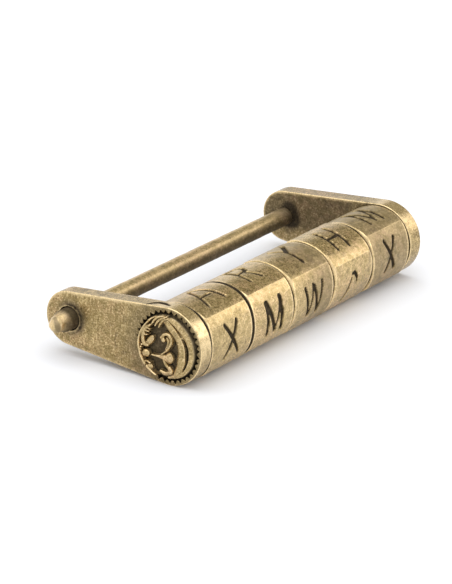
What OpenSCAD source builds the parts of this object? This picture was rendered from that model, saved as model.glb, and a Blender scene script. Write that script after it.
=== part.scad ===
// Letter combination padlock: five code wheels on a slotted sleeve, and a shackle that pulls out
// endways once the wheels' keyways stand in line. The barrel lies along X with the medallion end
// at low X, the shackle bar lies beside it towards +Y, and the end plates rest on Z = 0.

/* [Barrel] */
// Radius of the letter wheels over the ridges between two panels
wheel_r = 9; // [8.8:0.1:9.4]
// Radius of a wheel at the middle of a letter panel
panel_r = 8.45; // [8.3:0.05:8.6]
// Length of one wheel along the barrel
wheel_len = 15.7; // [15:0.1:16.5]
// Gap between neighbouring wheels
wheel_gap = 0.25; // [0.2:0.05:0.4]
// Play between the end wheels and the plates
end_play = 0.18; // [0.15:0.01:0.3]
// Length of the turned bevel at a wheel's ridges
wheel_bevel = 0.7; // [0.4:0.1:1]
// Turn of each wheel's panels from its keyway, in degrees
panel_turn = [0, -3, 5, 17, -2]; // [-20:1:20]

/* [Letters] */
// Width of a letter
letter_w = 5.2; // [4.5:0.1:5.6]
// Height of a letter
letter_h = 6.8; // [6:0.1:7]
// Width of an engraved stroke
stroke_w = 0.9; // [0.6:0.05:1]
// Depth of the engraving at the middle of a panel
letter_depth = 0.7; // [0.5:0.05:0.8]

/* [End plates] */
// Thickness of the plate with the medallion
near_t = 3.8; // [3.6:0.1:4.2]
// Thickness of the plate that carries the shackle bar
far_t = 4.6; // [4.2:0.1:5]
// Radius of a plate's large round end
disc_r = 8.7; // [8.6:0.05:8.8]
// Radius of a plate's small round end
tip_r = 6.15; // [5.8:0.05:6.5]
// Bevel around a plate's faces
plate_bevel = 0.3; // [0.2:0.05:0.5]

/* [Shackle] */
// Distance from the barrel's axis to the bar's axis
rod_offset = 26.3; // [24:0.1:28]
// Radius of the shackle bar
rod_r = 2.15; // [1.9:0.05:2.2]
// Radius of the bar's domed head, which fills the near plate's hole
head_r = 2.5; // [2.3:0.05:2.55]
// Radius of the near plate's hole for the head
rod_hole_r = 2.7; // [2.7:0.05:3]
// Length of the head that stands out of the near plate
rod_stub = 6; // [4:0.1:9]

/* [Medallion] */
// Radius of the round recess for the medallion
recess_r = 7.5; // [7.4:0.05:7.6]
// Depth of the recess
recess_depth = 1.2; // [1:0.05:1.3]
// Radius that the scallops of the recess reach
scallop_r = 8.25; // [8:0.05:8.3]
// Number of scallops around the recess
scallop_count = 36; // [24:1:40]
// Thickness of the medallion's round base
base_t = 0.5; // [0.4:0.05:0.6]
// Height of the mask over the medallion's base
mask_h = 2.3; // [2.1:0.1:2.6]

/* [Mechanism] */
// Radius of the spindle
spindle_r = 3.2; // [3:0.1:3.3]
// Outer radius of the sleeve
sleeve_r = 5; // [4.9:0.05:5.1]
// Radial play of a running fit
fit_play = 0.05; // [0.02:0.01:0.08]
// Radius of a lock pin
pin_r = 1.25; // [1:0.05:1.3]
// Distance that a lock pin reaches from the axis
pin_reach = 6.6; // [6.3:0.1:6.7]
// Side play of a lock pin in the slots it passes
slot_play = 0.2; // [0.15:0.05:0.3]
// Radius of a wheel's inner groove
groove_r = 7; // [6.9:0.05:7.1]
// Length of a wheel's inner groove
groove_len = 5; // [4.5:0.1:5.5]
// Length of a wheel's outer recess
mouth_len = 1.9; // [1.8:0.1:2.2]
// Thickness of the retaining collar
collar_t = 1.5; // [1.2:0.1:1.6]
// Outer radius of the retaining collar
collar_r = 6.8; // [6.6:0.05:6.8]

/* [Hidden] */
// Each wheel's four letters, from the top panel on round the outer side
letter_rows = ["AXTK", "RMNZ", "YWLF", "HAET", "MXVN"];
wheel_count = len(letter_rows);
$fn = 64;

wheel_pitch = wheel_len + wheel_gap;
wheels_start = near_t + end_play;
wheels_end = wheels_start + wheel_count * wheel_pitch - wheel_gap;
far_face = wheels_end + end_play;
far_back = far_face + far_t;

// A panel is an arc of panel_arc_r whose centre lies panel_shift past the axis
panel_shift = (wheel_r * wheel_r - panel_r * panel_r) / (2 * panel_r - sqrt(2) * wheel_r);
panel_arc_r = panel_r + panel_shift;
bevel_end_r = wheel_r - 0.5;

socket_depth = 1.6;
sleeve_base_t = 2.4;
sleeve_start = near_t - socket_depth;
sleeve_end = wheels_end - 0.1;
bore_start = sleeve_start + sleeve_base_t;
bore_r = spindle_r + fit_play;
spindle_start = bore_start + 0.3;
slot_w = 2 * (pin_r + slot_play);
collar_start = sleeve_end - collar_t;
mouth_r = groove_r + 0.2;
pin_x = 2.9;
pin_root = 0.5;

head_past = 0.6;
tenon_r = 1.6;

screw_r = 1.2;
screw_head_r = 2.2;
screw_head_t = 1;
screw_len = 2.2;
drive_w = 0.5;
drive_depth = 0.35;

notch_half = 0.42;
nick_r = 7;
nick_w = 0.3;
nick_y = 6;
nick_angle = 27;

relief_fn = 12;
brow_z = -2.3;
mane_turn = 45;

// The whole lock is shifted so that the origin is under the middle of its box
origin_x = (far_back - rod_stub) / 2;
origin_y = (rod_offset + tip_r - disc_r) / 2;

module placed() {
    translate([-origin_x, -origin_y, disc_r]) children();
}

module along_x(x) {
    translate([x, 0, 0]) rotate([0, 90, 0]) children();
}

module rod_x(x, r, length) {
    along_x(x) cylinder(r = r, h = length);
}

// Plate outline: two round ends and the straight tangents between them, bevelled on both faces
module plate_slab(x, t) {
    along_x(x) hull() {
        for (c = [[0, disc_r], [rod_offset, tip_r]]) translate([0, c[0], 0]) {
            cylinder(r = c[1] - plate_bevel, h = t, $fn = 72);
            translate([0, 0, plate_bevel]) cylinder(r = c[1], h = t - 2 * plate_bevel, $fn = 72);
        }
    }
}

// Round recess whose edge is cut into pointed scallops
module scalloped_recess() {
    along_x(-1) linear_extrude(1 + recess_depth) {
        circle(r = recess_r);
        for (i = [0:scallop_count - 1]) rotate(i * 360 / scallop_count)
            polygon([[recess_r - 0.5, -notch_half], [scallop_r, 0], [recess_r - 0.5, notch_half]]);
    }
}

// Countersunk screw pointing along +X, with a straight slot in its head
module screw_x(x, length) {
    difference() {
        union() {
            along_x(x) cylinder(r1 = screw_head_r, r2 = screw_r, h = screw_head_t);
            rod_x(x, screw_r, screw_head_t + length);
        }
        translate([x - 1, -screw_head_r - 1, -drive_w / 2])
            cube([1 + drive_depth, 2 * screw_head_r + 2, drive_w]);
    }
}

module screw_hole_x(x, length) {
    along_x(x) cylinder(r1 = screw_head_r, r2 = screw_r, h = screw_head_t);
    rod_x(x, screw_r, screw_head_t + length);
}

module near_plate() {
    color("darkkhaki") placed() difference() {
        plate_slab(0, near_t);
        scalloped_recess();
        rod_x(sleeve_start, sleeve_r, socket_depth + 1);
        screw_hole_x(recess_depth, screw_len);
        translate([0, rod_offset, 0]) rod_x(-1, rod_hole_r, near_t + 2);
        // Index nick in the plate's top edge
        translate([near_t / 2, nick_y, disc_r + nick_r - 1]) rotate([0, 0, nick_angle])
            rod_x(-nick_w / 2, nick_r, nick_w);
    }
}

// A round boss on the medallion's base with a ball top
module knob(at, r, h) {
    translate([0, at[0], at[1]]) {
        rod_x(r - h, r, h - r, $fn = relief_fn);
        translate([r - h, 0, 0]) sphere(r = r, $fn = relief_fn);
    }
}

// A rounded rib on the medallion's base that runs from point to point
module rib(points, r, h) {
    for (i = [1:len(points) - 1]) hull() {
        knob(points[i - 1], r, h);
        knob(points[i], r, h);
    }
}

// Points along an arc in the medallion's plane, its angles taken from +Z towards +Y
function arc_points(y, z, r, from, to, steps) =
    [for (i = [0:steps]) let (a = from + (to - from) * i / steps) [y + r * sin(a), z + r * cos(a)]];

// Lion mask: crown towards the shackle, beard towards the outer side
module mask() {
    intersection() {
        rod_x(-mask_h, recess_r - 0.2, mask_h + 0.2);
        union() {
            // Face dome
            translate([17, 0, 0]) sphere(r = 18);
            // Rim of the crown
            rib(arc_points(0, 0, recess_r - 0.5, 40, 160, 7), 0.3, mask_h - 0.15);
            // Eyes, with the knob of the brow between them
            knob([4, 0.7], 0.9, mask_h - 0.3);
            knob([4, brow_z - 2.9], 0.75, mask_h - 0.4);
            knob([5, brow_z], 0.9, mask_h);
            // Nose and the two nostril curls
            rib([[3, brow_z], [0.2, brow_z]], 0.35, mask_h - 0.5);
            knob([-0.8, brow_z], 1, mask_h - 0.3);
            rib(arc_points(0.4, 1.5, 1.7, 180, 400, 8), 0.4, mask_h - 0.5);
            rib(arc_points(0.2, -4.9, 1, 120, 290, 5), 0.4, mask_h - 0.6);
            // Lip, then jaw and beard
            rib(arc_points(2.4, -0.8, 6.2, 215, 335, 6), 0.75, mask_h - 0.8);
            rib(arc_points(0.9, -0.2, 7, 195, 350, 8), 0.8, mask_h - 1);
            // Locks of the mane
            for (i = [0:3]) let (a = mane_turn + 13 * i)
                rib([[5 * cos(a), 5 * sin(a)], [6.8 * cos(a), 6.8 * sin(a)]], 0.2, mask_h - 0.7);
        }
    }
}

module lion_medallion() {
    color("tan") placed() {
        rod_x(recess_depth - base_t, recess_r - 0.05, base_t);
        translate([recess_depth - base_t, 0, 0]) mask();
    }
}

module core_sleeve() {
    color("goldenrod") placed() difference() {
        rod_x(sleeve_start, sleeve_r, sleeve_end - sleeve_start);
        rod_x(bore_start, bore_r, sleeve_end);
        translate([bore_start, -slot_w / 2, 0]) cube([sleeve_end, slot_w, sleeve_r + 1]);
        rod_x(0, screw_r, recess_depth + screw_head_t + screw_len);
        translate([collar_start + collar_t / 2, 0, -sleeve_r - 1]) cylinder(r = pin_r / 2, h = sleeve_r);
    }
}

module core_screw() {
    color("silver") placed() screw_x(recess_depth, screw_len);
}

module retaining_collar() {
    color("gold") placed() difference() {
        rod_x(collar_start, collar_r, collar_t);
        rod_x(collar_start - 1, sleeve_r, collar_t + 2);
        translate([collar_start - 1, -slot_w / 2, 0]) cube([collar_t + 2, slot_w, collar_r + 1]);
        translate([collar_start + collar_t / 2, 0, -collar_r - 1]) cylinder(r = pin_r / 2, h = collar_r);
    }
}

module collar_pin() {
    color("silver") placed() translate([collar_start + collar_t / 2, 0, -collar_r + 0.1])
        cylinder(r = pin_r / 2, h = collar_r - bore_r - 0.2);
}

// Strokes of a letter in a box one wide and one high, with its middle at the origin
function strokes(c) =
    c == "A" ? [[[-0.5, -0.5], [-0.05, 0.5]], [[0.05, 0.5], [0.5, -0.5]], [[-0.25, -0.12], [0.3, -0.12]]] :
    c == "X" ? [[[-0.45, 0.5], [0.5, -0.5]], [[0.4, 0.5], [-0.45, -0.5]]] :
    c == "R" ? [[[-0.45, 0.5], [-0.45, -0.5]], [[-0.45, 0.5], [0.3, 0.45]], [[0.35, 0.45], [0.3, 0.05]],
                [[0.3, 0.05], [-0.4, 0]], [[-0.1, 0], [0.5, -0.5]]] :
    c == "M" ? [[[-0.5, 0.5], [-0.5, -0.5]], [[-0.45, 0.5], [0, -0.4]], [[0, -0.4], [0.45, 0.5]],
                [[0.5, 0.5], [0.5, -0.5]]] :
    c == "W" ? [[[-0.55, 0.5], [-0.3, -0.5]], [[-0.3, -0.5], [0, 0.4]], [[0, 0.4], [0.3, -0.5]],
                [[0.3, -0.5], [0.55, 0.5]]] :
    c == "Y" ? [[[-0.45, 0.5], [0, 0]], [[0.45, 0.5], [0, 0]], [[0, 0.05], [0, -0.5]]] :
    c == "H" ? [[[-0.45, 0.5], [-0.45, -0.5]], [[0.45, 0.5], [0.45, -0.5]], [[-0.45, 0], [0.45, 0]]] :
    c == "K" ? [[[-0.35, 0.5], [-0.35, -0.5]], [[0.4, 0.5], [-0.3, 0]], [[-0.3, 0], [0.45, -0.5]]] :
    c == "T" ? [[[-0.5, 0.5], [0.5, 0.5]], [[0, 0.5], [0, -0.5]]] :
    c == "N" ? [[[-0.45, -0.5], [-0.45, 0.5]], [[-0.45, 0.5], [0.45, -0.5]], [[0.45, -0.5], [0.45, 0.5]]] :
    c == "Z" ? [[[-0.45, 0.5], [0.45, 0.5]], [[0.45, 0.5], [-0.45, -0.5]], [[-0.45, -0.5], [0.45, -0.5]]] :
    c == "L" ? [[[-0.35, 0.5], [-0.35, -0.5]], [[-0.35, -0.5], [0.4, -0.5]]] :
    c == "F" ? [[[-0.35, 0.5], [-0.35, -0.5]], [[-0.35, 0.5], [0.4, 0.5]], [[-0.35, 0], [0.25, 0]]] :
    c == "E" ? [[[-0.35, 0.5], [-0.35, -0.5]], [[-0.35, 0.5], [0.4, 0.5]], [[-0.35, 0], [0.25, 0]],
                [[-0.35, -0.5], [0.4, -0.5]]] :
    [[[-0.5, 0.5], [0, -0.5]], [[0, -0.5], [0.5, 0.5]]];

// A letter cut into the panel that faces +Z, its head towards +Y
module letter_cut(c) {
    for (s = strokes(c)) {
        a = [s[0][0] * letter_w, s[0][1] * letter_h];
        b = [s[1][0] * letter_w, s[1][1] * letter_h];
        translate([a[0], a[1], panel_r - letter_depth]) rotate([0, 0, atan2(b[1] - a[1], b[0] - a[0])])
            translate([-stroke_w / 2, -stroke_w / 2, 0]) cube([norm(b - a) + stroke_w, stroke_w, 2]);
    }
}

// Rounded square between four panel arcs, its ends turned to a bevel
module rounded_square() {
    intersection() {
        panel_arc(0);
        panel_arc(90);
        panel_arc(180);
        panel_arc(270);
        along_x(0) rotate_extrude() polygon([
            [0, 0], [bevel_end_r, 0], [wheel_r, wheel_bevel], [wheel_r, wheel_len - wheel_bevel],
            [bevel_end_r, wheel_len], [0, wheel_len]
        ]);
    }
}

module panel_arc(angle) {
    rotate([angle, 0, 0]) translate([0, 0, -panel_shift]) rod_x(0, panel_arc_r, wheel_len);
}

module letter_wheel(k) {
    turn = panel_turn[k];
    color("burlywood") placed() translate([wheels_start + k * wheel_pitch, 0, 0]) difference() {
        rotate([turn, 0, 0]) rounded_square();
        rod_x(-1, sleeve_r + fit_play, wheel_len + 2);
        rod_x(-1, groove_r, groove_len + 1);
        rod_x(wheel_len - mouth_len, mouth_r, mouth_len + 1);
        translate([1, -slot_w / 2, 0]) cube([wheel_len, slot_w, groove_r]);
        for (j = [0:3]) rotate([turn + 90 * j, 0, 0]) translate([wheel_len / 2, 0, 0])
            letter_cut(letter_rows[k][j]);
    }
}

module far_plate() {
    color("darkkhaki") placed() difference() {
        plate_slab(far_face, far_t);
        rod_x(far_face - 1, spindle_r, far_t - screw_head_t + 1);
        translate([2 * far_back, 0, 0]) mirror([1, 0, 0]) screw_hole_x(far_back, screw_len);
        translate([0, rod_offset, 0]) rod_x(far_face - 1, tenon_r, far_t + 2);
    }
}

// Shackle bar: a tenon riveted in the far plate, the bar itself, and a thicker domed head
module shackle_rod() {
    color("peru") placed() translate([0, rod_offset, 0]) {
        intersection() {
            translate([head_r - rod_stub, 0, 0]) sphere(r = head_r);
            rod_x(-rod_stub, head_r, head_r);
        }
        rod_x(head_r - rod_stub, head_r, rod_stub - head_r + near_t + head_past);
        rod_x(near_t, rod_r, far_face - near_t);
        rod_x(far_face, tenon_r, far_t);
    }
}

module lock_spindle() {
    color("goldenrod") placed() difference() {
        rod_x(spindle_start, spindle_r, far_back - screw_head_t - spindle_start);
        rod_x(far_back - screw_head_t - screw_len, screw_r, screw_len + 1);
        for (k = [0:wheel_count - 1]) translate([wheels_start + k * wheel_pitch + pin_x, 0, -pin_root])
            cylinder(r = pin_r, h = spindle_r + 1);
    }
}

module spindle_screw() {
    color("silver") placed() translate([2 * far_back, 0, 0]) mirror([1, 0, 0]) screw_x(far_back, screw_len);
}

module lock_pin(k) {
    color("lightsteelblue") placed() translate([wheels_start + k * wheel_pitch + pin_x, 0, -pin_root])
        cylinder(r = pin_r, h = pin_reach + pin_root);
}

near_plate();
lion_medallion();
core_sleeve();
core_screw();
retaining_collar();
collar_pin();
for (k = [0:wheel_count - 1])
    letter_wheel(k);
far_plate();
shackle_rod();
lock_spindle();
spindle_screw();
for (k = [0:wheel_count - 1])
    lock_pin(k);
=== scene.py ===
"""Looks of a five-wheel letter padlock in antique brass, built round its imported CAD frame.

Shapes are worked out in lock millimetres: u runs along the barrel from the medallion plate's face,
v from the barrel's axis towards the shackle bar, and w upwards from the axis.
"""
import math

import bmesh
import bpy
import numpy as np
from mathutils import Matrix, Vector, geometry


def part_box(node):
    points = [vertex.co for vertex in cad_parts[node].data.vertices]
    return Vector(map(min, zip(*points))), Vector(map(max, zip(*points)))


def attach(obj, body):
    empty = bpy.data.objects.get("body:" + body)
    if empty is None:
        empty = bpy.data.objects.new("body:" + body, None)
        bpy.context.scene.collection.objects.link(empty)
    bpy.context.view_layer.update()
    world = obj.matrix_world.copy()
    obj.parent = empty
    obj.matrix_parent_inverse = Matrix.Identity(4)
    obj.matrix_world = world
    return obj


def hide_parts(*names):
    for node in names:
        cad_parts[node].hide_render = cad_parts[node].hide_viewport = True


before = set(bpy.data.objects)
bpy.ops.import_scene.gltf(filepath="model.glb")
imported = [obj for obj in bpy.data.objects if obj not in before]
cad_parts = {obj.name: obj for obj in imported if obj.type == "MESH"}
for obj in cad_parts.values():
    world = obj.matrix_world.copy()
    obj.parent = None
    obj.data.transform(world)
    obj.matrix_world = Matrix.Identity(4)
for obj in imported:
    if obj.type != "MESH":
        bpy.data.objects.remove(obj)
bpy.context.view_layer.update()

MM = 0.001
WHEELS = 5


# ---- places, all from the frame

def span(node):
    """Lowest and highest corner of a CAD node, in millimetres of the frame."""
    low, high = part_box(node)
    return np.array(low) / MM, np.array(high) / MM


near_low, near_high = span("near_plate")
far_low, far_high = span("far_plate")
bar_low, bar_high = span("shackle_rod")
first_low, first_high = span("letter_wheel_1")
axis_y, axis_z = (first_low[1:] + first_high[1:]) / 2
ORIGIN = np.array([near_low[0], axis_y, axis_z])

NEAR_T = near_high[0] - near_low[0]
FAR_FACE = far_low[0] - ORIGIN[0]
FAR_BACK = far_high[0] - ORIGIN[0]
DISC_R = axis_y - near_low[1]
BAR_V = (bar_low[1] + bar_high[1]) / 2 - axis_y
HEAD_R = (bar_high[1] - bar_low[1]) / 2
BAR_TIP = bar_low[0] - ORIGIN[0]
TIP_R = near_high[1] - axis_y - BAR_V


# ---- small numeric helpers

def smooth(x):
    """0 below 0, 1 above 1, and a smooth step between."""
    x = np.clip(x, 0, 1)
    return x * x * (3 - 2 * x)


def soft_min(a, b, width):
    """The smaller of a and b, with the corner between them rounded over width."""
    mix = np.clip(0.5 + 0.5 * (b - a) / width, 0, 1)
    return b + (a - b) * mix - width * mix * (1 - mix)


def bell(x, middle, reach):
    """1 at middle, falling to almost nothing at twice the reach from it."""
    return np.exp(-(((x - middle) / reach) ** 2))


WAVE_COUNT = 14


def waves(points, size, seed):
    """Slow seeded unevenness of about -1 to 1 at points, with bumps about size millimetres across."""
    draw = np.random.default_rng(seed)
    total = np.zeros(points.shape[:-1])
    for _ in range(WAVE_COUNT):
        direction = draw.normal(size=3)
        direction *= math.pi / size * draw.uniform(0.6, 1.5) / np.linalg.norm(direction)
        total += np.sin(points @ direction + draw.uniform(0, 2 * math.pi))
    return total / math.sqrt(WAVE_COUNT)


def curve(points, steps=10):
    """A smooth line through points, each a row of numbers (Catmull-Rom)."""
    p = np.array(points, float)
    p = np.vstack([2 * p[0] - p[1], p, 2 * p[-1] - p[-2]])
    line = []
    for a, b, c, d in zip(p, p[1:], p[2:], p[3:]):
        square = 2 * a - 5 * b + 4 * c - d
        cube = 3 * b - a - 3 * c + d
        for t in np.linspace(0, 1, steps, endpoint=False):
            line.append(0.5 * (2 * b + (c - a) * t + square * t**2 + cube * t**3))
    line.append(p[-2])
    return np.array(line)


def along_line(x, y, line):
    """Clearance of the points (x, y) from a line of (x, y, half width) rows, and the half width there.

    The clearance is negative inside the stroke.
    """
    best = np.full(np.shape(x), 1e9)
    half = np.zeros(np.shape(x))
    for (x0, y0, h0), (x1, y1, h1) in zip(line, line[1:]):
        dx = x1 - x0
        dy = y1 - y0
        t = np.clip(((x - x0) * dx + (y - y0) * dy) / max(dx * dx + dy * dy, 1e-9), 0, 1)
        h = h0 + (h1 - h0) * t
        clear = np.hypot(x - x0 - t * dx, y - y0 - t * dy) - h
        closer = clear < best
        best = np.where(closer, clear, best)
        half = np.where(closer, h, half)
    return best, half


# ---- mesh helpers

class Shell:
    """Collects the strips, fans and faces of one closed surface, in lock millimetres."""

    def __init__(self):
        self.points = []
        self.faces = []

    def add(self, points):
        """Takes in more points and says where they start."""
        start = len(self.points)
        self.points.extend(np.asarray(points, float).tolist())
        return start

    def strip(self, loops):
        """Quads between closed loops of equal length."""
        count = len(loops[0])
        starts = [self.add(loop) for loop in loops]
        for a, b in zip(starts, starts[1:]):
            for i in range(count):
                j = (i + 1) % count
                self.faces.append((a + i, a + j, b + j, b + i))

    def fan(self, loop, centre):
        """Triangles from a closed loop to one point."""
        start = self.add(loop)
        middle = self.add([centre])
        count = len(loop)
        for i in range(count):
            self.faces.append((start + i, start + (i + 1) % count, middle))

    def flat(self, u, loops, inside, spacing):
        """The flat face at u between loops of (v, w) points, where inside(v, w) says what to keep."""
        outline = np.vstack(loops)
        edges = []
        start = 0
        for loop in loops:
            count = len(loop)
            edges += [(start + i, start + (i + 1) % count) for i in range(count)]
            start += count
        low = outline.min(0)
        high = outline.max(0)
        v, w = np.meshgrid(
            np.arange(low[0], high[0], spacing), np.arange(low[1], high[1], spacing), indexing="ij"
        )
        grid = np.stack([v.ravel(), w.ravel()], -1)
        grid = grid[inside(grid[:, 0], grid[:, 1]) > spacing * 0.45]
        verts = [Vector(p) for p in np.vstack([outline, grid])]
        found, _, faces = geometry.delaunay_2d_cdt(verts, edges, [], 0, 1e-7)[:3]
        flat = np.array([tuple(p) for p in found])
        faces = np.array(faces)
        middles = flat[faces].mean(1)
        kept = faces[inside(middles[:, 0], middles[:, 1]) > 1e-6]
        start = self.add(np.column_stack([np.full(len(flat), u), flat]))
        self.faces.extend((kept + start).tolist())


def welded(mesh):
    """Joins points that coincide, drops loose ones and turns the faces outwards."""
    bm = bmesh.new()
    bm.from_mesh(mesh)
    bmesh.ops.remove_doubles(bm, verts=bm.verts, dist=2e-7)
    loose = [v for v in bm.verts if not v.link_faces]
    bmesh.ops.delete(bm, geom=loose, context="VERTS")
    bmesh.ops.recalc_face_normals(bm, faces=bm.faces)
    bm.to_mesh(mesh)
    bm.free()


def lock_points(mesh):
    """The mesh's points in lock millimetres."""
    co = np.zeros(len(mesh.vertices) * 3)
    mesh.vertices.foreach_get("co", co)
    return co.reshape(-1, 3) / MM - ORIGIN


def piece(name, points, faces, body, material, replaced, sharp=40, weld=False):
    """A mesh object in the row frame that rides on a body and stands for a CAD node."""
    mesh = bpy.data.meshes.new(name)
    mesh.from_pydata(((ORIGIN + np.asarray(points)) * MM).tolist(), [], faces)
    if weld:
        welded(mesh)
    mesh.validate()
    mesh.shade_smooth()
    mesh.set_sharp_from_angle(angle=math.radians(sharp))
    mesh.materials.append(material)
    made = bpy.data.objects.new(name, mesh)
    bpy.context.scene.collection.objects.link(made)
    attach(made, body)
    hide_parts(replaced)
    return made


def paint(made, layer, values):
    """Stores one number a point for the material, such as how dirty or shaded, or how worn or highlighted,
    the surface is painted.
    """
    attribute = made.data.attributes.new(layer, "FLOAT", "POINT")
    attribute.data.foreach_set("value", np.clip(values, 0, 1).astype(np.float32).ravel())


# ---- letter wheels

WHEEL_R = 9.0
PANEL_R = (first_high[1] - first_low[1]) / 2
PANEL_SHIFT = (WHEEL_R**2 - PANEL_R**2) / (2 * PANEL_R - math.sqrt(2) * WHEEL_R)
PANEL_ARC_R = PANEL_R + PANEL_SHIFT
PANEL_TURN = [0, -3, 5, 17, -2]
RIDGE_SOFT = 0.05
BEVEL_LEN = 0.7
BEVEL_DROP = 0.5
END_ROUND = 0.45
BORE_R = 5.05
KEYWAY_HALF = 1.45
GROOVE_R = 7.0
GROOVE_LEN = 5.0
MOUTH_R = 7.2
MOUTH_LEN = 1.9
LETTER_HALF = 4.3
LETTER_HALF_UP = 6
LETTER_DEPTH = 0.5
LETTER_WALL = 0.16
STROKE_GAIN = 1.2
FULL_WIDTH = 0.8

# Hand-cut strokes as rows of (x, y, width), with the panel's middle at 0, 0 and the head up
GLYPHS = {
    "A": [
        [(-0.1, 3.2, 0.5), (-0.9, 2.5, 0.7), (-2.95, -3.9, 0.75)],
        [(-0.1, 3.2, 0.6), (0.9, 2.7, 0.9), (2.1, 0.9, 1.0), (2.9, -0.6, 1.0), (3.6, -3.6, 0.8)],
        [(-2.0, -1.2, 0.5), (1.9, -1.2, 0.6)],
    ],
    "A plain": [
        [(-0.6, 3.5, 0.5), (0.4, 3.5, 0.8), (1.25, 2.4, 0.8), (1.6, 1.0, 0.4)],
        [(-0.9, 2.4, 0.5), (-1.7, -0.4, 0.65), (-2.5, -3.2, 0.7)],
    ],
    "X": [
        [(-2.05, 3.7, 0.8), (0.4, 0.0, 0.9), (3.25, -4.1, 0.45)],
        [(2.3, 3.7, 0.85), (-1.9, -3.95, 0.95)],
    ],
    "X narrow": [
        [(-2.05, 3.9, 0.8), (0.0, 0.3, 0.85), (1.65, -3.1, 1.0)],
        [(1.9, 4.0, 0.8), (-1.9, -3.4, 0.75)],
    ],
    "R": [
        [(-2.0, 3.3, 0.9), (-2.0, -3.7, 0.8)],
        [(-2.0, 3.3, 0.7), (1.5, 3.3, 0.8), (2.6, 1.9, 1.0), (1.8, 0.3, 0.9), (-1.6, -0.2, 0.5)],
        [(0.5, -0.2, 0.7), (2.4, -3.6, 0.9)],
    ],
    "M": [
        [(-2.4, 3.4, 1.0), (-2.05, -4.1, 0.8)],
        [(-2.05, 3.4, 1.1), (0.75, -3.6, 0.9)],
        [(0.75, -3.6, 0.7), (2.8, 2.9, 0.7)],
        [(2.95, 3.55, 1.15), (3.25, -3.9, 0.95)],
    ],
    "W": [
        [(-3.3, 3.5, 0.8), (-1.75, -3.3, 0.7)],
        [(-1.45, -3.2, 0.5), (-0.2, 3.7, 0.6)],
        [(0.27, 3.2, 0.9), (1.7, -3.2, 0.8)],
        [(1.85, -3.2, 0.6), (3.4, 3.5, 0.8)],
    ],
    "Y": [
        [(-1.6, 3.8, 0.7), (0.3, 0.9, 0.7)],
        [(3.7, 3.8, 0.9), (0.6, 0.5, 1.0)],
        [(0.6, 0.5, 0.8), (0.7, -3.9, 0.9)],
    ],
    "H": [
        [(-1.95, 3.6, 0.95), (-2.25, -3.3, 0.85)],
        [(2.45, 3.75, 0.9), (2.15, -3.4, 0.95)],
        [(-2.1, 0.15, 0.7), (2.3, 0.15, 0.8)],
    ],
    "K": [
        [(-2.1, 3.25, 0.9), (-1.8, -3.6, 0.8)],
        [(1.8, 3.25, 0.7), (-1.5, -0.6, 0.7)],
        [(-1.4, -0.4, 0.7), (2.3, -3.6, 0.9)],
    ],
    "T": [
        [(-2.4, 3.4, 0.8), (2.5, 3.5, 0.7)],
        [(0.1, 3.4, 0.9), (-0.1, -3.8, 0.75)],
    ],
    "N": [
        [(-2.1, -3.7, 0.75), (-2.0, 3.5, 0.9)],
        [(-2.0, 3.5, 0.9), (2.1, -3.6, 0.8)],
        [(2.1, -3.6, 0.6), (2.3, 3.6, 0.9)],
    ],
    "Z": [
        [(-2.2, 3.4, 0.7), (2.3, 3.4, 0.9)],
        [(2.3, 3.4, 0.8), (-2.3, -3.5, 0.75)],
        [(-2.3, -3.5, 0.8), (2.5, -3.6, 0.65)],
    ],
    "L": [
        [(-1.8, 3.5, 0.9), (-1.9, -3.6, 0.85)],
        [(-1.9, -3.6, 0.8), (2.3, -3.5, 0.65)],
    ],
    "F": [
        [(-1.8, 3.4, 0.9), (-1.8, -3.8, 0.75)],
        [(-1.8, 3.4, 0.8), (2.2, 3.5, 0.6)],
        [(-1.8, 0.2, 0.7), (1.4, 0.3, 0.55)],
    ],
    "E": [
        [(-1.8, 3.4, 0.9), (-1.8, -3.6, 0.85)],
        [(-1.8, 3.4, 0.8), (2.2, 3.5, 0.6)],
        [(-1.8, 0.1, 0.7), (1.4, 0.2, 0.55)],
        [(-1.8, -3.5, 0.8), (2.3, -3.5, 0.65)],
    ],
    "V": [
        [(-2.4, 3.5, 0.9), (0.1, -3.7, 0.65)],
        [(2.6, 3.5, 0.85), (0.1, -3.7, 0.6)],
    ],
}

# Each wheel's letters, from the top panel on round the outer side
LETTER_ROWS = [
    ["A", "X", "T", "K"],
    ["R", "M", "N", "Z"],
    ["Y", "W", "L", "F"],
    ["H", "A plain", "E", "T"],
    ["M", "X narrow", "V", "N"],
]


def panel_steps():
    """Angles round one panel from its middle, in degrees: fine at the letter, finer still at the ridge."""
    letter = np.arange(-LETTER_HALF, LETTER_HALF + 0.01, 0.088)
    to_ridge = math.radians(45) * PANEL_R
    edge = to_ridge - np.array([2.0, 1.6, 1.2, 0.85, 0.55, 0.34, 0.2, 0.1, 0.04])
    arc = np.concatenate([-edge[::-1], letter, edge, [to_ridge]])
    return np.degrees(np.sort(arc) / PANEL_R)


def panel_radius(theta):
    """Radius of the rounded square at angles from the middle of a panel, in radians."""
    def arc(angle):
        return -PANEL_SHIFT * np.cos(angle) + np.sqrt(PANEL_ARC_R**2 - (PANEL_SHIFT * np.sin(angle)) ** 2)

    nearest = (theta + math.pi / 4) % (math.pi / 2) - math.pi / 4
    across = nearest - np.sign(nearest) * math.pi / 2
    return soft_min(arc(nearest), arc(across), RIDGE_SOFT)


def bore_radius(phi):
    """Radius of the web's bore with its keyway at the top."""
    side = np.maximum(np.abs(np.sin(phi)), 1e-6)
    top = np.where(np.cos(phi) > 0, GROOVE_R / np.maximum(np.cos(phi), 1e-6), 0)
    return np.maximum(BORE_R, np.minimum(top, KEYWAY_HALF / side) * (np.cos(phi) > 0))


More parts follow.
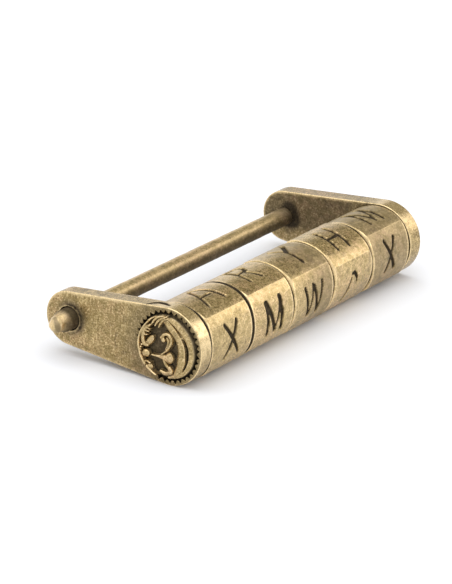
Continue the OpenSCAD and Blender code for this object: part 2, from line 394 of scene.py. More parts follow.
def letter_cut(s, t, strokes):
    """Depth of a letter at panel places (s along the barrel, t up), as a share of the full depth."""
    cut = np.zeros(np.shape(s))
    for stroke in strokes:
        line = [(x, y, width / 2 * STROKE_GAIN) for x, y, width in stroke]
        clear, half = along_line(s, t, line)
        share = np.clip(half / (FULL_WIDTH / 2), 0.55, 1)
        cut = np.maximum(cut, smooth((LETTER_WALL / 2 - clear) / LETTER_WALL) * share)
    return cut


def wheel_path(length):
    """The wheel's section as rows of (x, kind, value): a place along it, and how its radius is set there."""
    middle = length / 2
    fine = middle + np.arange(-4.1, 4.11, 0.09)
    near_side = np.linspace(END_ROUND, fine[0], 14)[:-1]
    far_side = np.linspace(fine[-1], length - END_ROUND, 14)[1:]
    path = [(x, "outside", 0.0) for x in np.concatenate([near_side, fine, far_side])]
    turn = np.linspace(0, math.pi / 2, 5)[1:]
    rounding = [(END_ROUND * (1 - math.sin(a)), END_ROUND * (1 - math.cos(a))) for a in turn]
    path += [(length - x, "outside", drop) for x, drop in rounding]
    path += [
        (length, "fixed", MOUTH_R + 0.15),
        (length - 0.15, "fixed", MOUTH_R),
        (length - MOUTH_LEN, "fixed", MOUTH_R),
        (length - MOUTH_LEN, "bore", 0.12),
        (length - MOUTH_LEN - 0.12, "bore", 0.0),
        (GROOVE_LEN + 0.12, "bore", 0.0),
        (GROOVE_LEN, "bore", 0.12),
        (GROOVE_LEN, "fixed", GROOVE_R),
        (0.15, "fixed", GROOVE_R),
        (0.0, "fixed", GROOVE_R + 0.15),
    ]
    path += [(x, "outside", drop) for x, drop in rounding[::-1]]
    return path


# How far down the rounding of each wheel's two ends the grime and painted shade of the seams begins, as a
# share of its drop
LIP_GRIME_AND_SHADE_START = [(0.05, 0.05), (0.05, 0.4), (0.4, 0.45), (0.45, 0.2), (0.3, 0.4)]

# Tarnish and painted shade all over each wheel's skin, at its start and at its end
TARNISH_AND_SHADE = [(0.2, 0.0), (0.0, 0.0), (0.1, 0.55), (0.0, 0.1), (0.48, 0.52)]

# Depth, as a share of a letter's full depth, at which its grime begins
GRIME_FROM_TOP = 0.32
GRIME_FROM_SIDES = 0.1

# Ridges and rims rubbed bright, and painted brighter still as the highlights they catch
RIDGE_WEAR_AND_HIGHLIGHT = 0.4
RIM_WEAR_AND_HIGHLIGHT = 0.95
RIM_PLACE = 0.5
RIM_LIMIT = 0.91
SKIN_SHARP = 50


def engraving(k, angle, along, length):
    """Depth of wheel k's letters and the grime in them, as shares, at places on its skin."""
    cut = np.zeros_like(angle)
    grime = np.zeros_like(angle)
    for j, letter in enumerate(LETTER_ROWS[k]):
        middle = math.radians(90 * j + PANEL_TURN[k])
        up = -(((angle - middle + math.pi) % (2 * math.pi)) - math.pi) * PANEL_R
        share = letter_cut(along - length / 2, up, GLYPHS[letter]) * (np.abs(up) < LETTER_HALF_UP)
        cut = np.maximum(cut, share)
        grime_from = GRIME_FROM_TOP if j == 0 else GRIME_FROM_SIDES
        grime = np.maximum(grime, smooth((share - grime_from) / 0.3))
    return cut, grime


def weather_wheel(made, k, angle, along, outside, inset, cut, grime):
    """Ridges and rims rubbed and painted bright as highlights, grime in the letters, grime and painted shade
    in the seams and bore, and tarnish with painted shade that changes along the wheel.
    """
    x = along[0]
    length = x.max()
    ridge = np.abs((angle - math.radians(PANEL_TURN[k])) % (math.pi / 2) - math.pi / 4) * WHEEL_R
    rim = np.minimum(np.minimum(along, length - along), RIM_LIMIT)
    # Rubbing and painted highlight on the ridges and rims
    wear_and_highlight = np.maximum(RIDGE_WEAR_AND_HIGHLIGHT * bell(ridge, 0, 0.2), RIM_WEAR_AND_HIGHLIGHT * bell(rim, RIM_PLACE, 0.32))
    # The inside of the wheel: grime and painted shade
    inner = np.where(outside, 0.0, 1.0)[None, :] + 0 * angle
    # Tarnish and painted shade over the wheel's skin
    tarnish_and_shade = TARNISH_AND_SHADE[k][0] + (TARNISH_AND_SHADE[k][1] - TARNISH_AND_SHADE[k][0]) * smooth(along / length)
    # The seams' lips: grime and painted shade
    lip_grime_and_shade_start = np.where(x < length / 2, LIP_GRIME_AND_SHADE_START[k][0], LIP_GRIME_AND_SHADE_START[k][1])
    lip_grime_and_shade = np.where(outside & (inset > END_ROUND * lip_grime_and_shade_start), 1.0, 0.0)[None, :] + 0 * angle
    paint(made, "wear_and_highlight", wear_and_highlight * (1 - inner) * (1 - cut) * (1 - lip_grime_and_shade))
    paint(made, "dirt_and_shade", np.maximum.reduce([grime, inner, lip_grime_and_shade, tarnish_and_shade * (1 - wear_and_highlight)]))


def build_wheel(k, material):
    """One wheel: four engraved panels outside, a keyed bore, a groove and a recess inside."""
    low, high = span(f"letter_wheel_{k + 1}")
    start = low[0] - ORIGIN[0]
    length = high[0] - low[0]
    steps = panel_steps()
    phi = np.radians(np.concatenate([steps + 90 * j for j in range(4)]) + PANEL_TURN[k])
    path = wheel_path(length)
    x = np.array([row[0] for row in path])
    inset = np.array([row[2] for row in path])
    outside = np.array([row[1] == "outside" for row in path])
    angle, along = np.meshgrid(phi, x, indexing="ij")

    panel = panel_radius(angle - math.radians(PANEL_TURN[k]))
    to_end = np.minimum(along, length - along)
    bevel = WHEEL_R - BEVEL_DROP * (1 - to_end / BEVEL_LEN)
    radius = soft_min(panel, np.where(to_end < BEVEL_LEN * 2, bevel, WHEEL_R + 1), 0.04)
    edge_radius = radius - inset

    cut, grime = engraving(k, angle, along, length)
    for i, (_, kind, value) in enumerate(path):
        if kind == "fixed":
            edge_radius[:, i] = value
        elif kind == "bore":
            edge_radius[:, i] = bore_radius(angle[:, i]) + value
    skin = np.where(outside[None, :] & (inset[None, :] == 0), 1.0, 0.0)
    points = np.stack([along, -edge_radius * np.sin(angle), edge_radius * np.cos(angle)], -1)
    dents = 0.022 * waves(points, 3.2, 11 + k) + 0.012 * waves(points, 1.1, 31 + k)
    edge_radius = edge_radius - skin * (cut * LETTER_DEPTH + np.abs(dents))
    points = np.stack([start + along, -edge_radius * np.sin(angle), edge_radius * np.cos(angle)], -1)

    rows, levels = angle.shape
    index = np.arange(rows * levels).reshape(rows, levels)
    after = np.roll(index, -1, 0)
    faces = np.stack([index, after, np.roll(after, -1, 1), np.roll(index, -1, 1)], -1).reshape(-1, 4)
    made = piece(
        f"wheel_{k + 1}", points.reshape(-1, 3), faces.tolist(), f"wheel_{k + 1}", material,
        f"letter_wheel_{k + 1}", sharp=SKIN_SHARP,
    )
    weather_wheel(made, k, angle, along, outside, inset, cut, grime)


# ---- end plates

PLATE_ROUND = 0.26
FAR_BACK_ROUND = 0.65
HOLE_R = 2.7
TENON_R = 1.6
RECESS_R = 7.5
SCALLOP_R = 8.35
SCALLOPS = 36
RECESS_DEPTH = 1.2
SOCKET_U = 2.2
SOCKET_R = 5.0
SPINDLE_R = 3.2
SCREW_HEAD_R = 2.2
SCREW_R = 1.2
SCREW_HEAD_T = 1.0

# The nick in the near plate's top, as rows of (u, v, half width)
NICK = [(0.45, 5.8, 0.1), (1.5, 5.0, 0.3), (2.2, 3.9, 0.34), (2.1, 2.4, 0.34), (1.5, 0.8, 0.08)]
NICK_DEPTH = 0.45
TOP_W = 5
FACE_GRID = 0.5
BACK_GRID = 0.7
PLATE_SHARP = 32

# Wear along the outline and the faces' edges, and painted highlight on the disc's shoulder at an angle from
# its top
EDGE_REACH = 0.3
FACE_REACH = 0.32
SHOULDER_ANGLE = 15
SHOULDER_REACH = 35

# Grime round the scalloped rim, and painted shade behind the wheels
SCALLOP_GRIME = 0.45
SCALLOP_GRIME_REACH = 3.5
BEHIND_SHADE = 0.75


def plate_outline(inset):
    """The plate's outline as (v, w) points: two round ends and the tangents between them."""
    tangent = math.acos((DISC_R - TIP_R) / BAR_V)
    disc = np.linspace(tangent, 2 * math.pi - tangent, 180)
    tip = np.linspace(-tangent, tangent, 110)
    big = np.stack([np.cos(disc), np.sin(disc)], -1) * (DISC_R - inset)
    small = np.stack([np.cos(tip), np.sin(tip)], -1) * (TIP_R - inset) + [BAR_V, 0]
    lower = np.linspace(big[-1], small[0], 130)[1:-1]
    upper = np.linspace(small[-1], big[0], 130)[1:-1]
    return np.vstack([big, lower, small, upper])


def plate_depth(v, w):
    """Distance of (v, w) inside the plate's outline, in millimetres."""
    k = (DISC_R - TIP_R) / BAR_V
    a = math.sqrt(1 - k * k)
    x = np.abs(w)
    side = DISC_R - (x * a + v * k)
    before = a * v - k * x
    disc = DISC_R - np.hypot(v, w)
    tip = TIP_R - np.hypot(v - BAR_V, w)
    return np.where(before < 0, disc, np.where(before > a * BAR_V, tip, side))


def ring(radius, count, v=0.0):
    """A circle of (v, w) points; radius is one number or one for each point."""
    angle = np.linspace(0, 2 * math.pi, count, endpoint=False)
    return np.stack([v + radius * np.cos(angle), radius * np.sin(angle)], -1)


def lift(u, loop):
    """The loop of (v, w) points as lock points at u."""
    return np.column_stack([np.full(len(loop), u), loop])


def scallop_loop(grow, count):
    """The recess's edge: rounded lobes with pointed notches between them, none quite like the next."""
    draw = np.random.default_rng(5)
    reach = draw.uniform(0.8, 1.05, SCALLOPS)
    shift = draw.uniform(-0.09, 0.09, SCALLOPS)
    phase = np.linspace(0, SCALLOPS, count, endpoint=False)
    number = phase.astype(int) % SCALLOPS
    place = phase % 1 - 0.5 + shift[number]
    peak = (1 - np.abs(np.sin(math.pi * place))) ** 0.95
    radius = RECESS_R + (SCALLOP_R - RECESS_R) * peak * reach[number]
    return ring(radius + grow, count)


def rounded_wall(thickness, front, back, start):
    """Loops up a plate's wall, with rounded edges of the radii front and back."""
    turn = np.linspace(0, math.pi / 2, 7)
    loops = [lift(start + front * (1 - math.cos(a)), plate_outline(front * (1 - math.sin(a)))) for a in turn]
    for u in np.arange(front, thickness - back, 0.16)[1:]:
        loops.append(lift(start + u, plate_outline(0)))
    loops += [
        lift(start + thickness - back * (1 - math.cos(a)), plate_outline(back * (1 - math.sin(a))))
        for a in turn[::-1]
    ]
    return loops


def cut_nick(loops):
    """Presses the slanting nick into the near plate's top edge."""
    for loop in loops:
        clear, _ = along_line(loop[:, 0], loop[:, 1], NICK)
        share = smooth((0.08 - clear) / 0.3) * (loop[:, 2] > TOP_W)
        loop[:, 2] -= NICK_DEPTH * share
    return loops


def clear_of_holes(inset, middle, hole):
    """A test of how far (v, w) is inside a plate's face, clear of its hole in the disc and the bar's."""
    def inside(v, w):
        from_middle = np.hypot(v, w) - middle
        from_bar = np.hypot(v - BAR_V, w) - hole
        return np.minimum(np.minimum(plate_depth(v, w) - inset, from_middle), from_bar)

    return inside


def hole_wall(rim, wall, front, back, chamfer):
    """Loops through a plate's hole, chamfered at both faces."""
    return [lift(front, rim), lift(front + chamfer, wall), lift(back - chamfer, wall), lift(back, rim)]


def build_near_plate(material):
    """Plate with the scalloped recess, the loose hole for the bar and the socket for the sleeve."""
    shell = Shell()
    count = SCALLOPS * 14
    chamfer = 0.12
    shell.strip(cut_nick(rounded_wall(NEAR_T, PLATE_ROUND, PLATE_ROUND, 0)))

    def inside_front(v, w):
        radius = np.hypot(v, w)
        turn = (np.arctan2(w, v) / (2 * math.pi) % 1) * count
        edge = np.hypot(*scallop_loop(chamfer, count).T)
        limit = np.interp(turn, np.arange(count + 1), np.append(edge, edge[0]))
        hole = np.hypot(v - BAR_V, w) - HOLE_R - chamfer
        return np.minimum(np.minimum(plate_depth(v, w) - PLATE_ROUND, radius - limit), hole)

    inside_back = clear_of_holes(PLATE_ROUND, SOCKET_R + chamfer, HOLE_R + chamfer)
    hole_rim = ring(HOLE_R + chamfer, 96, BAR_V)
    outline = plate_outline(PLATE_ROUND)
    socket_rim = ring(SOCKET_R + chamfer, count)
    shell.flat(0, [outline, scallop_loop(chamfer, count), hole_rim], inside_front, FACE_GRID)
    shell.flat(NEAR_T, [outline, socket_rim, hole_rim], inside_back, FACE_GRID)
    shell.strip(hole_wall(hole_rim, ring(HOLE_R, 96, BAR_V), 0, NEAR_T, chamfer))
    steps = [0.12, 0.3, 0.5, 0.7, 0.9, 1.05]
    shell.strip(
        [lift(0, scallop_loop(chamfer, count)), lift(0.03, scallop_loop(0.04, count))]
        + [lift(u, scallop_loop(0, count)) for u in steps]
        + [
            lift(RECESS_DEPTH, scallop_loop(-0.08, count)),
            lift(RECESS_DEPTH, ring(SCREW_HEAD_R, count)),
            lift(RECESS_DEPTH + SCREW_HEAD_T, ring(SCREW_R, count)),
            lift(SOCKET_U, ring(SCREW_R, count)),
            lift(SOCKET_U, ring(SOCKET_R, count)),
            lift(NEAR_T - chamfer, ring(SOCKET_R, count)),
            lift(NEAR_T, socket_rim),
        ]
    )
    return piece(
        "medallion_plate", shell.points, shell.faces, "case", material, "near_plate",
        sharp=PLATE_SHARP, weld=True,
    )


def build_far_plate(material):
    """Plate that carries the spindle and the bar, with its outer edge well rounded."""
    shell = Shell()
    chamfer = 0.15
    thickness = FAR_BACK - FAR_FACE
    shell.strip(rounded_wall(thickness, PLATE_ROUND, FAR_BACK_ROUND, FAR_FACE))

    bar_rim = ring(TENON_R + chamfer, 72, BAR_V)
    front_bore = SPINDLE_R + chamfer
    back_bore = SCREW_HEAD_R + chamfer
    shell.flat(
        FAR_FACE, [plate_outline(PLATE_ROUND), ring(front_bore, 144), bar_rim],
        clear_of_holes(PLATE_ROUND, front_bore, TENON_R + chamfer), FACE_GRID,
    )
    shell.flat(
        FAR_BACK, [plate_outline(FAR_BACK_ROUND), ring(back_bore, 144), bar_rim],
        clear_of_holes(FAR_BACK_ROUND, back_bore, TENON_R + chamfer), BACK_GRID,
    )
    shell.strip(hole_wall(bar_rim, ring(TENON_R, 72, BAR_V), FAR_FACE, FAR_BACK, chamfer))
    shell.strip([
        lift(FAR_FACE, ring(front_bore, 144)),
        lift(FAR_FACE + chamfer, ring(SPINDLE_R, 144)),
        lift(FAR_BACK - SCREW_HEAD_T, ring(SPINDLE_R, 144)),
        lift(FAR_BACK - SCREW_HEAD_T, ring(SCREW_R, 144)),
        lift(FAR_BACK - 0.1, ring(SCREW_HEAD_R, 144)),
        lift(FAR_BACK, ring(back_bore, 144)),
    ])
    return piece(
        "shackle_plate", shell.points, shell.faces, "shackle", material, "far_plate",
        sharp=PLATE_SHARP, weld=True,
    )


def weather_plate(made, faces_u, inward, holes, wall_highlight, shade=0.0):
    """Worn edges, painted highlights on the disc's wall, and grime with painted shade in and round the
    holes, of a plate whose faces are at the two places faces_u.

    inward is the face turned to the wheels, painted with shade behind them. Each hole is a row of (v,
    radius, reach of the grime and painted shade round it, rubbed brightness and painted highlight of its
    rim). The argument after the holes is the painted highlight on the disc's wall below its shoulder, and
    shade is the grime and painted shade all over the first face.
    """
    points = lock_points(made.data)
    u, v, w = points.T
    depth = plate_depth(v, w)
    edge = bell(np.maximum(depth, 0), 0, EDGE_REACH)
    face = np.maximum.reduce([bell(u, place, FACE_REACH) for place in faces_u])
    turned = np.degrees(np.arctan2(-v, w))
    # Painted highlights on the disc's wall: on its shoulder, and below it
    shoulder_highlight = bell(turned, SHOULDER_ANGLE, SHOULDER_REACH)
    lower_wall_highlight = wall_highlight * (1 - smooth((turned - 70) / 60))
    disc_wall = smooth((0.2 - depth) / 0.15) * smooth((8 - v) / 8)
    wear_and_highlight = np.maximum(edge * face, np.maximum(lower_wall_highlight, shoulder_highlight) * disc_wall)
    first = np.where(u < faces_u[0] + 0.02, 1.0, 0.0)
    # Less grime and painted shade towards the bottom of the first face
    less_toward_bottom = 1 - 0.6 * smooth((-w - 1) / 2.5)
    # shade puts grime and painted shade all over the first face
    dirt_and_shade = shade * first * less_toward_bottom * smooth(depth / 0.8)
    round_scallops = bell(np.hypot(v, w), SCALLOP_R, SCALLOP_GRIME_REACH)
    dirt_and_shade = np.maximum(dirt_and_shade, SCALLOP_GRIME * first * round_scallops)
    for middle, radius, reach, rim_wear_and_highlight in holes:
        gap = np.hypot(v - middle, w) - radius
        # Grime and painted shade round the hole
        hole_grime_and_shade = 1.5 * bell(np.maximum(gap, 0), 0, reach) * smooth(0.65 - (v - middle) / 8)
        hole_grime_and_shade = hole_grime_and_shade * first * less_toward_bottom
        # The hole's rim: rubbed and painted bright as a highlight
        rim = np.where((gap > 0.05) & (gap < 0.2) & (depth > 1), rim_wear_and_highlight, 0.0)
        dirt_and_shade = np.maximum(dirt_and_shade, np.where(gap < 0.02, 1.0, hole_grime_and_shade)) * (1 - rim)
        wear_and_highlight = np.maximum(wear_and_highlight, rim)
    # Inside walls of the holes, socket and recess: grime and painted shade
    inner = (u > faces_u[0] + 0.05) & (u < faces_u[1] - 0.05) & (depth > 0.4)
    # Painted shade on the plate's back where it meets the wheels
    behind = (np.abs(u - inward) < 0.02) & (np.hypot(v, w) < WHEEL_R) & (depth > 0.05)
    clear, _ = along_line(u, v, NICK)
    nick = smooth((0.3 - clear) / 0.2) * (w > TOP_W)
    dirt_and_shade = np.clip(np.maximum.reduce([dirt_and_shade, inner * 1.0, behind * BEHIND_SHADE, nick]), 0, 1)
    paint(made, "wear_and_highlight", wear_and_highlight * (1 - dirt_and_shade))
    paint(made, "dirt_and_shade", dirt_and_shade)


# ---- lion medallion

MASK_R = 7.25
MASK_BASE_U = 0.7
MASK_GRID = 210
MASK_SHARP = 75
BROAD_BLUR = 26
FINE_BLUR = 6
LOW_GROUND = 1.2
LOW_GRIME = 0.9
CURVE_STEPS = 6

# Raised lines of the face as rows of (across, up, half width), then the height of their crest over the base
CREST_LINES = [
    ([(4.9, 4.6, 0.16), (3.55, 5.65, 0.2), (1.9, 6.45, 0.22), (0.0, 6.85, 0.2), (-2.2, 6.5, 0.2),
      (-4.0, 5.7, 0.25), (-5.1, 4.7, 0.25), (-5.95, 3.4, 0.2), (-6.5, 2.1, 0.15)], 2.15),
    ([(-0.4, 4.6, 0.3), (-0.4, 5.2, 0.35), (0.4, 5.75, 0.38), (1.6, 5.85, 0.42), (2.8, 5.5, 0.42),
      (3.7, 4.8, 0.4), (4.3, 4.0, 0.2)], 2.05),
    ([(1.9, 5.6, 0.2), (1.95, 4.7, 0.13)], 1.95),
    ([(2.8, 5.3, 0.2), (2.75, 4.4, 0.13)], 1.9),
    ([(3.5, 4.8, 0.2), (3.35, 4.0, 0.12)], 1.85),
    ([(-5.95, 4.6, 0.16), (-5.6, 5.2, 0.2), (-4.9, 5.5, 0.2), (-4.3, 5.2, 0.18), (-4.0, 4.6, 0.16),
      (-4.3, 3.8, 0.14)], 2.0),
    ([(-2.3, 3.4, 0.14), (-2.3, 2.3, 0.22), (-2.3, 1.1, 0.5), (-2.35, 0.0, 0.85),
      (-2.25, -0.8, 1.05)], 1.85),
    ([(-1.7, 1.0, 0.12), (-0.7, -0.15, 0.2), (0.4, -1.0, 0.26), (1.6, -1.45, 0.3), (2.6, -1.2, 0.34),
      (3.1, -0.4, 0.34), (2.85, 0.5, 0.34), (2.1, 1.05, 0.4)], 1.85),
    ([(-0.5, 0.1, 0.16), (0.5, -0.45, 0.24), (1.5, -0.65, 0.28), (2.2, -0.3, 0.26)], 1.6),
    ([(-5.6, 1.1, 0.36), (-5.85, -0.1, 0.42), (-5.3, -1.3, 0.5), (-4.5, -1.0, 0.45)], 1.75),
    ([(-3.1, 0.5, 0.3), (-4.0, -0.1, 0.32), (-4.5, -0.8, 0.35)], 1.6),
    ([(4.4, 4.9, 0.14), (5.5, 4.2, 0.26), (6.4, 3.0, 0.14)], 1.75),
    ([(4.6, 3.7, 0.16), (5.6, 3.1, 0.27), (6.5, 2.0, 0.24), (7.0, 0.8, 0.12)], 1.7),
    ([(4.4, 2.8, 0.16), (5.4, 2.25, 0.27), (6.3, 1.2, 0.24), (6.9, 0.0, 0.12)], 1.7),
    ([(4.2, 1.9, 0.14), (5.2, 1.45, 0.26), (6.1, 0.6, 0.22), (6.6, -0.4, 0.1)], 1.65),
    ([(-5.6, -2.5, 0.5), (-3.9, -3.4, 1.0), (-2.1, -3.8, 1.25), (-0.3, -3.85, 1.3), (1.4, -3.6, 1.2),
      (2.8, -2.8, 1.1), (4.1, -1.5, 1.05), (5.2, -0.2, 0.85)], 1.6),
    ([(-6.7, -0.7, 0.3), (-6.0, -2.5, 0.6), (-4.9, -4.3, 0.8), (-3.3, -5.5, 0.85), (-1.1, -6.15, 0.9),
      (1.2, -5.95, 0.9), (3.0, -5.1, 1.0), (4.6, -3.5, 1.0), (5.7, -1.8, 0.9), (6.0, -0.5, 0.8),
      (5.5, 0.4, 0.7)], 1.35),
]

# Lines cut into the face: rows of (across, up, half width), then their depth
CUT_LINES = [
    ([(-4.6, -4.2, 0.06), (-3.1, -4.95, 0.22), (-1.1, -5.3, 0.42), (0.7, -5.15, 0.42), (1.9, -4.6, 0.26),
      (2.7, -3.9, 0.06)], 1.1),
    ([(3.0, -3.7, 0.06), (4.3, -2.6, 0.13), (5.3, -1.5, 0.13), (6.1, -0.5, 0.05)], 0.5),
    ([(0.1, 4.75, 0.12), (0.7, 4.95, 0.16), (1.3, 4.7, 0.06)], 0.8),
    ([(1.35, 5.35, 0.1), (1.45, 4.9, 0.12)], 0.9),
    ([(2.4, 5.2, 0.08), (2.35, 4.6, 0.12)], 0.9),
    ([(3.15, 4.95, 0.08), (3.05, 4.3, 0.12)], 0.9),
    ([(3.8, 4.6, 0.06), (3.65, 4.0, 0.1)], 0.8),
    ([(-5.4, 4.75, 0.12), (-4.95, 4.85, 0.18), (-4.5, 4.6, 0.1)], 0.6),
    ([(-5.2, -0.35, 0.14), (-5.0, 0.1, 0.1)], 0.5),
]

# Domes: across, up, half length, half width, turn in degrees, height of the top
DOMES = [
    (-2.33, 5.0, 1.05, 0.95, 90, 2.3),
    (0.75, 4.05, 1.5, 0.78, -36, 2.05),
    (-5.2, 4.0, 0.8, 0.78, 60, 1.95),
    (1.65, 0.62, 0.62, 0.55, 0, 2.0),
    (2.9, 2.3, 1.9, 1.4, -60, 0.75),
    (-2.25, -0.75, 1.35, 1.15, 0, 2.0),
]

# Small round beads over the mane, as (across, up)
BEADS = [(-3.1, 6.1), (-2.45, 6.35), (-1.75, 6.35), (-1.1, 6.2), (-0.5, 5.95)]
BEAD_R = 0.27
BEAD_TOP = 2.1


def disc_grid(n):
    """A square grid of points spread evenly over the unit disc, its border on the circle."""
    a = np.linspace(-1, 1, n)
    x, y = np.meshgrid(a, a, indexing="ij")
    wide = np.abs(x) > np.abs(y)
    radius = np.where(wide, x, y)
    safe = np.where(np.abs(radius) < 1e-9, 1, radius)
    angle = np.where(wide, math.pi / 4 * y / safe, math.pi / 2 - math.pi / 4 * x / safe)
    return radius * np.cos(angle), radius * np.sin(angle)


def blurred(field, passes):
    """The field, smoothed over its neighbours a number of times."""
    for _ in range(passes):
        field = np.pad(field, 1, mode="edge")
        field = (field[:-2] + 2 * field[1:-1] + field[2:]) / 4
        field = (field[:, :-2] + 2 * field[:, 1:-1] + field[:, 2:]) / 4
    return field


def face_height(p, q):
    """Height of the lion mask over its base at places p across and q up."""
    radius = np.hypot(p, q)
    height = 0.25 + 0.04 * q + 0.3 * (1 - (radius / MASK_R) ** 2)
    for rows, top in CREST_LINES:
        clear, half = along_line(p, q, curve(rows, CURVE_STEPS))
        inner = np.clip(1 + clear / np.maximum(half, 0.05), 0, 1)
        crest = top - half * 0.6 * inner**2 - 6 * np.maximum(clear, 0)
        height = np.maximum(height, np.where(clear < 0.3, crest, 0))
    for across, up, long, short, turn, top in DOMES:
        c = math.cos(math.radians(turn))
        s = math.sin(math.radians(turn))
        x = ((p - across) * c + (q - up) * s) / long
        y = (-(p - across) * s + (q - up) * c) / short
        inner = np.clip(np.hypot(x, y), 0, 1)
        dome = top - short * 0.75 * inner**2
        height = np.where(np.hypot(x, y) < 1, np.maximum(height, dome), height)
    for across, up in BEADS:
        inner = np.hypot(p - across, q - up) / BEAD_R
        bead = BEAD_TOP - BEAD_R * (1 - np.sqrt(1 - np.clip(inner, 0, 1) ** 2))
        height = np.where(inner < 1, np.maximum(height, bead), height)
    for rows, depth in CUT_LINES:
        clear, _ = along_line(p, q, curve(rows, CURVE_STEPS))
        height = height - depth * smooth((0.05 - clear) / 0.14)
    edge = smooth((MASK_R - radius) / 0.16)
    return np.maximum(height, 0.1) * edge + 0.1 * (1 - edge)


def build_medallion(material):
    """The lion mask as one cast relief on a round base."""
    n = MASK_GRID
    x, y = disc_grid(n)
    q = x * MASK_R
    p = y * MASK_R
    height = blurred(face_height(p, q), 1)
    points = np.stack([MASK_BASE_U - height, q, p], -1)
    height = height + 0.035 * waves(points, 1.1, 3)
    points[..., 0] = MASK_BASE_U - height
    shell = Shell()
    index = np.arange(n * n).reshape(n, n)
    shell.add(points.reshape(-1, 3))
    quads = np.stack([index[:-1, :-1], index[1:, :-1], index[1:, 1:], index[:-1, 1:]], -1)
    shell.faces.extend(quads.reshape(-1, 4).tolist())
    rim = np.concatenate([
        points[0, :-1], points[:-1, -1], points[-1, :0:-1], points[:0:-1, 0]
    ])
    back = rim.copy()
    back[:, 0] = RECESS_DEPTH
    shell.strip([rim, back])
    shell.fan(back, [RECESS_DEPTH, 0, 0])
    made = piece(
        "lion_mask", shell.points, shell.faces, "case", material, "lion_medallion",
        sharp=MASK_SHARP, weld=True,
    )
    weather_medallion(made, height)


def weather_medallion(made, height):
    """Dark low ground and hollows, and bright crests, from the mask's own relief."""
    wide = blurred(height, BROAD_BLUR)
    fine = blurred(height, FINE_BLUR)
    hollow = np.clip((wide - height) / 0.34, 0, 1) * 0.75 + np.clip((fine - height) / 0.14, 0, 1) * 0.6
    proud = np.clip((height - wide - 0.1) / 0.7, 0, 1) * 0.6 + np.clip((height - fine) / 0.1, 0, 1) * 0.5
    low = smooth((LOW_GROUND - height) / 0.5) * LOW_GRIME
    found = lock_points(made.data)
    dirt_and_shade = relief_value(found, np.maximum(hollow, low))
    paint(made, "dirt_and_shade", np.where(found[:, 0] > MASK_BASE_U, 1, dirt_and_shade))
    paint(made, "wear_and_highlight", relief_value(found, proud))


def relief_value(points, field):
    """Reads a field on the medallion's grid at mesh points, through the grid's own map of the disc."""
    v = points[:, 1] / MASK_R
    w = points[:, 2] / MASK_R
    radius = np.clip(np.hypot(v, w), 0, 1)
    angle = np.arctan2(w, v)
    wide = np.abs(np.cos(angle)) > np.abs(np.sin(angle))
    sign = np.where(wide, np.sign(v), np.sign(w))
    a = radius * sign
    turn = np.where(wide, np.arctan2(w * sign, v * sign), np.arctan2(v * sign, w * sign))
    b = a * turn * 4 / math.pi
    x = np.where(wide, a, b)
    y = np.where(wide, b, a)
    last = len(field) - 1
    i = np.clip(np.rint((x + 1) / 2 * last), 0, last).astype(int)
    j = np.clip(np.rint((y + 1) / 2 * last), 0, last).astype(int)
    return field[i, j]


# ---- shackle bar

BAR_STEPS = 96
BAR_R = 2.15
HEAD_PAST = 0.6
HEAD_END = NEAR_T + HEAD_PAST
NOSE_R = 1.9
TAPER_LEN = 2.2
BAR_SHARP = 45

# Painted highlight on the bar's crest, at an angle from its top, and wear with painted highlight on its nose
CREST_ANGLE = 25
CREST_REACH = 40
CREST_HIGHLIGHT = 0.4
NOSE_WEAR_AND_HIGHLIGHT = 0.55

# Strengths of the painted shade under the bar, the grime and painted shade in the plate's hole, the painted
# shadow at the far plate, and the grime in the nose's pits
UNDER_SHADE = 0.85
HOLE_GRIME_AND_SHADE = 0.92
BASE_SHADOW = 0.85
BASE_REACH = 6
PIT_GRIME = 0.6


def build_bar(material):
    """The round bar: a worn nose on a thicker head, the bar, and a tenon in the far plate."""
    turn = np.linspace(0, 2 * math.pi, BAR_STEPS, endpoint=False)
    dome = np.linspace(0, math.pi / 2, 18)[1:]
    section = [(BAR_TIP + NOSE_R * (1 - math.cos(a)), NOSE_R * math.sin(a)) for a in dome]
    section += [
        (BAR_TIP + NOSE_R + TAPER_LEN * share, NOSE_R + (HEAD_R - NOSE_R) * smooth(share))
        for share in np.linspace(0.1, 1, 10)
    ]
    section += [(u, HEAD_R) for u in np.arange(section[-1][0] + 0.25, HEAD_END - 0.15, 0.25)]
    section += [(HEAD_END - 0.06, HEAD_R - 0.02), (HEAD_END, HEAD_R - 0.1), (HEAD_END, BAR_R)]
    section += [(u, BAR_R) for u in np.arange(HEAD_END + 0.3, FAR_FACE - 0.2, 0.4)]
    section += [(FAR_FACE, BAR_R), (FAR_FACE, TENON_R), (FAR_BACK - 0.1, TENON_R), (FAR_BACK, TENON_R - 0.1)]
    u, r = np.array(section).T
    rest = np.stack([
        np.repeat(u[:, None], BAR_STEPS, 1), r[:, None] * np.cos(turn), r[:, None] * np.sin(turn)
    ], -1)
    worn = np.clip(1 - (u - BAR_TIP) / 5, 0, 1)[:, None]
    dents = 0.025 * np.abs(waves(rest, 2.6, 71)) + worn * 0.16 * np.abs(waves(rest, 1.9, 72))
    scale = 1 - dents / np.maximum(r, 0.5)[:, None]
    points = rest.copy()
    points[..., 1] = rest[..., 1] * scale + BAR_V
    points[..., 2] = rest[..., 2] * scale
    shell = Shell()
    shell.strip(points)
    shell.fan(points[0], [BAR_TIP, BAR_V, 0])
    shell.fan(points[-1], [FAR_BACK, BAR_V, 0])
    made = piece(
        "shackle_bar", shell.points, shell.faces, "shackle", material, "shackle_rod",
        sharp=BAR_SHARP, weld=True,
    )
    weather_bar(made)


